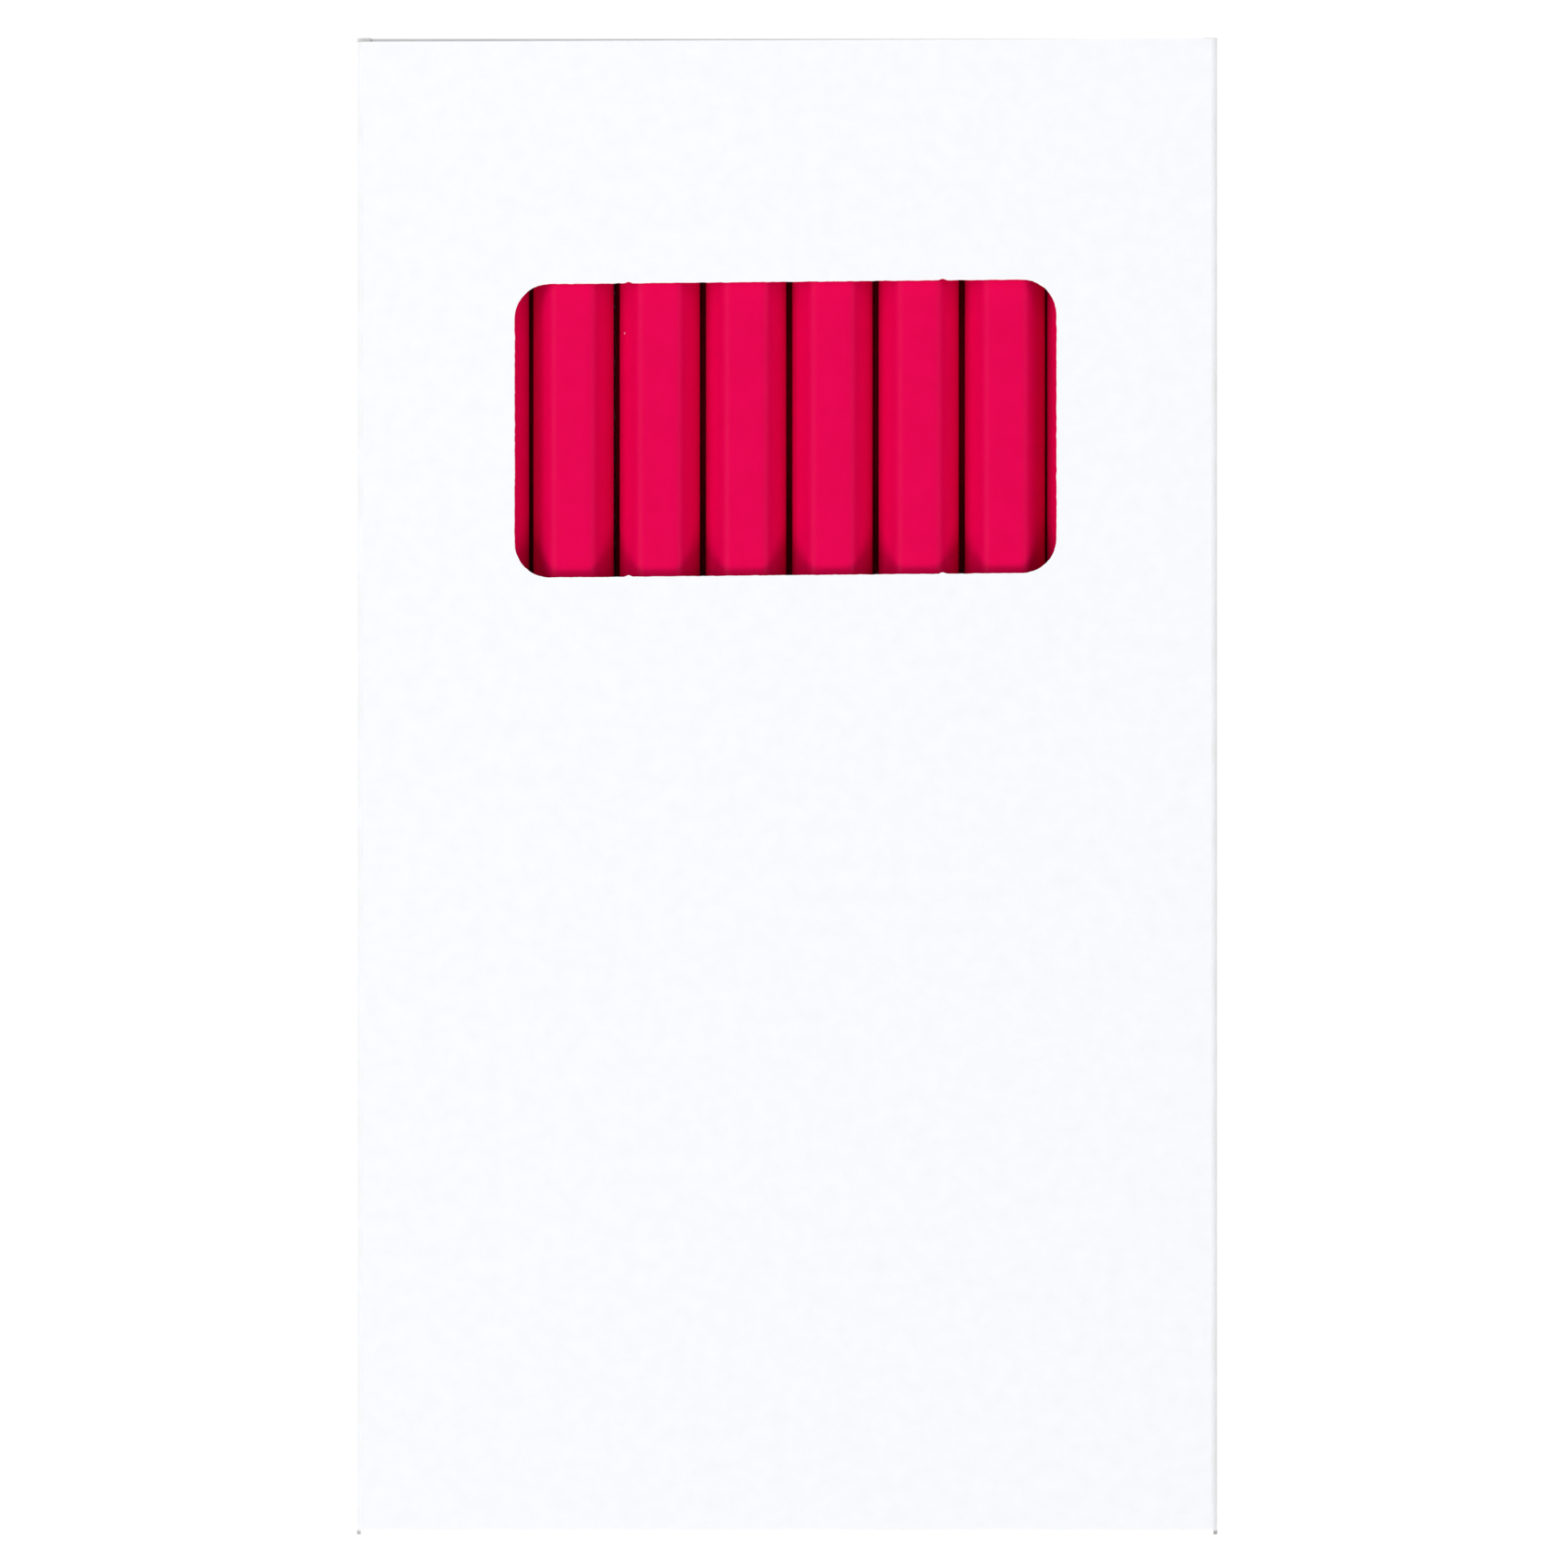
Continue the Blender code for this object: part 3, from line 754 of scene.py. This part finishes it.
def make_crayon(name, seed, butt):
    """One crayon along +Y from the middle of its butt, with soft edges and a domed point."""
    section = hexagon()
    dome_base = CRAYON_LENGTH - TIP_DOME
    slope = (HALF_CORNERS - TIP_RADIUS) / (CONE_LENGTH - TIP_DOME)
    body_end = CRAYON_LENGTH - CONE_LENGTH
    mesh = bmesh.new()
    rows = []

    def add_row(place_of):
        rows.append([mesh.verts.new(place_of(point)) for point in section])

    def round_the_axis(point, radius, y):
        flat = point.normalized() * radius
        return Vector((flat.x, y, flat.y))

    def sunk(point, y, scale=1.0):
        return round_the_axis(point, point.length * scale - wax_surface(point, y, seed), y)

    for share in BUTT_SHARES:
        scale = 1 - BUTT_CHAMFER / (ACROSS_FLATS / 2) * (1 - math.sin(share * math.pi / 2))
        y = BUTT_CHAMFER * (1 - math.cos(share * math.pi / 2))
        add_row(lambda point: sunk(point, y, scale))
    for number in range(1, BODY_ROWS + 1):
        y = BUTT_CHAMFER + (body_end - BUTT_CHAMFER) * number / BODY_ROWS
        add_row(lambda point: sunk(point, y))

    def shoulder(point):
        """Where the cone meets the hexagon, which is further back the further out the point is."""
        return sunk(point, dome_base - (point.length - TIP_RADIUS) / slope)

    def tip(point):
        return round_the_axis(point, TIP_RADIUS, dome_base)

    add_row(shoulder)
    body_row_count = len(rows)
    for number in range(1, CONE_ROWS + 1):
        add_row(lambda point: shoulder(point).lerp(tip(point), number / CONE_ROWS))
    for angle in DOME_ANGLES:
        radius = TIP_RADIUS * math.cos(angle)
        y = dome_base + TIP_DOME * math.sin(angle)
        add_row(lambda point: round_the_axis(point, radius, y))
    apex = mesh.verts.new((0, CRAYON_LENGTH, 0))
    mesh.faces.new(rows[0])
    for number, (near, far) in enumerate(zip(rows, rows[1:])):
        for index in range(len(section)):
            face = mesh.faces.new((near[index - 1], near[index], far[index], far[index - 1]))
            on_body = number < body_row_count - 1
            face.material_index = PRESSED_SLOT if on_body else TURNED_SLOT
    for index in range(len(section)):
        face = mesh.faces.new((rows[-1][index - 1], rows[-1][index], apex))
        face.material_index = TURNED_SLOT
    bmesh.ops.translate(mesh, verts=mesh.verts[:], vec=butt)
    piece = finish(f"{name}_wax", mesh, (WAX, TURNED), name, WAX_SMOOTH_ANGLE)
    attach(piece, name)


def make_crayons():
    """All the crayons, each with its own small dents."""
    for number in range(1, CRAYON_COUNT + 1):
        name = f"crayon_{number:02d}"
        low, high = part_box(name)
        butt = Vector(((low.x + high.x) / 2, low.y, (low.z + high.z) / 2))
        make_crayon(name, number, butt)


# ---------------------------------------------------------------- stage, light and camera


def make_floor():
    """A wide square just under the carton."""
    mesh = bmesh.new()
    height = cad_low.z - FLOOR_CLEARANCE
    for x, y in rectangle(-FLOOR_REACH, -FLOOR_REACH, FLOOR_REACH, FLOOR_REACH):
        mesh.verts.new((x, y, height))
    mesh.faces.new(mesh.verts[:])
    data = bpy.data.meshes.new("floor")
    mesh.to_mesh(data)
    mesh.free()
    data.materials.append(pale_floor())
    floor = bpy.data.objects.new("floor", data)
    bpy.context.scene.collection.objects.link(floor)


def softbox(name, azimuth, elevation, distance, size, watts):
    """An area light that faces the carton, from azimuth 0 on the -Y side and 90 on the +X side."""
    a = math.radians(azimuth)
    e = math.radians(elevation)
    towards = Vector((math.sin(a) * math.cos(e), -math.cos(a) * math.cos(e), math.sin(e)))
    light = bpy.data.lights.new(name, "AREA")
    light.shape = "RECTANGLE"
    light.size, light.size_y = size
    light.energy = watts
    lamp = bpy.data.objects.new(name, light)
    lamp.location = towards * distance
    lamp.rotation_euler = (-towards).to_track_quat("-Z", "Y").to_euler()
    bpy.context.scene.collection.objects.link(lamp)
    return lamp


def keep_off(lamp, names):
    """Light linking: the lamp doesn't light the named pieces."""
    group = bpy.data.collections.new(f"{lamp.name}_skips")
    for name in names:
        group.objects.link(bpy.data.objects[name])
    for entry in group.collection_objects:
        entry.light_linking.link_state = "EXCLUDE"
    lamp.light_linking.receiver_collection = group


def make_lights():
    """A long key light from the base end, three small fills and a faint sky."""
    key = softbox(
        "key_strip", azimuth=352, elevation=45, distance=4.0, size=(11.0, 1.5), watts=232
    )
    keep_off(key, UNKEYED_PANELS)
    softbox(
        "fill_upper_left", azimuth=188, elevation=50, distance=0.7, size=(0.5, 0.5), watts=0.95
    )
    softbox("fill_right", azimuth=90, elevation=36, distance=1.0, size=(0.6, 0.6), watts=2.1)
    softbox("fill_left", azimuth=272, elevation=43, distance=1.0, size=(0.6, 0.35), watts=2.9)
    world = bpy.data.worlds.new("studio")
    world.use_nodes = True
    sky = world.node_tree.nodes["Background"]
    sky.inputs["Color"].default_value = SKY_COLOUR
    sky.inputs["Strength"].default_value = SKY_STRENGTH
    bpy.context.scene.world = world
    bpy.context.scene.view_settings.view_transform = "Standard"


def make_camera():
    """Straight above the carton, with a long lens for an almost parallel view."""
    camera = bpy.data.cameras.new("camera")
    camera.sensor_width = SENSOR_MM
    camera.lens = LENS_MM
    height = (cad_high.y - cad_low.y) / FACE_SHARE_OF_HEIGHT
    distance = height * LENS_MM / SENSOR_MM
    holder = bpy.data.objects.new("camera", camera)
    holder.location = Vector((0, 0, cad_high.z + distance)) + FRAME_SHIFT
    bpy.context.scene.collection.objects.link(holder)
    bpy.context.scene.camera = holder


make_front_panel()
make_side_panels()
make_back_panel()
make_glue_flap()
make_base()
make_tuck_lid()
make_top_dust_flaps()
make_crayons()
make_floor()
make_lights()
make_camera()
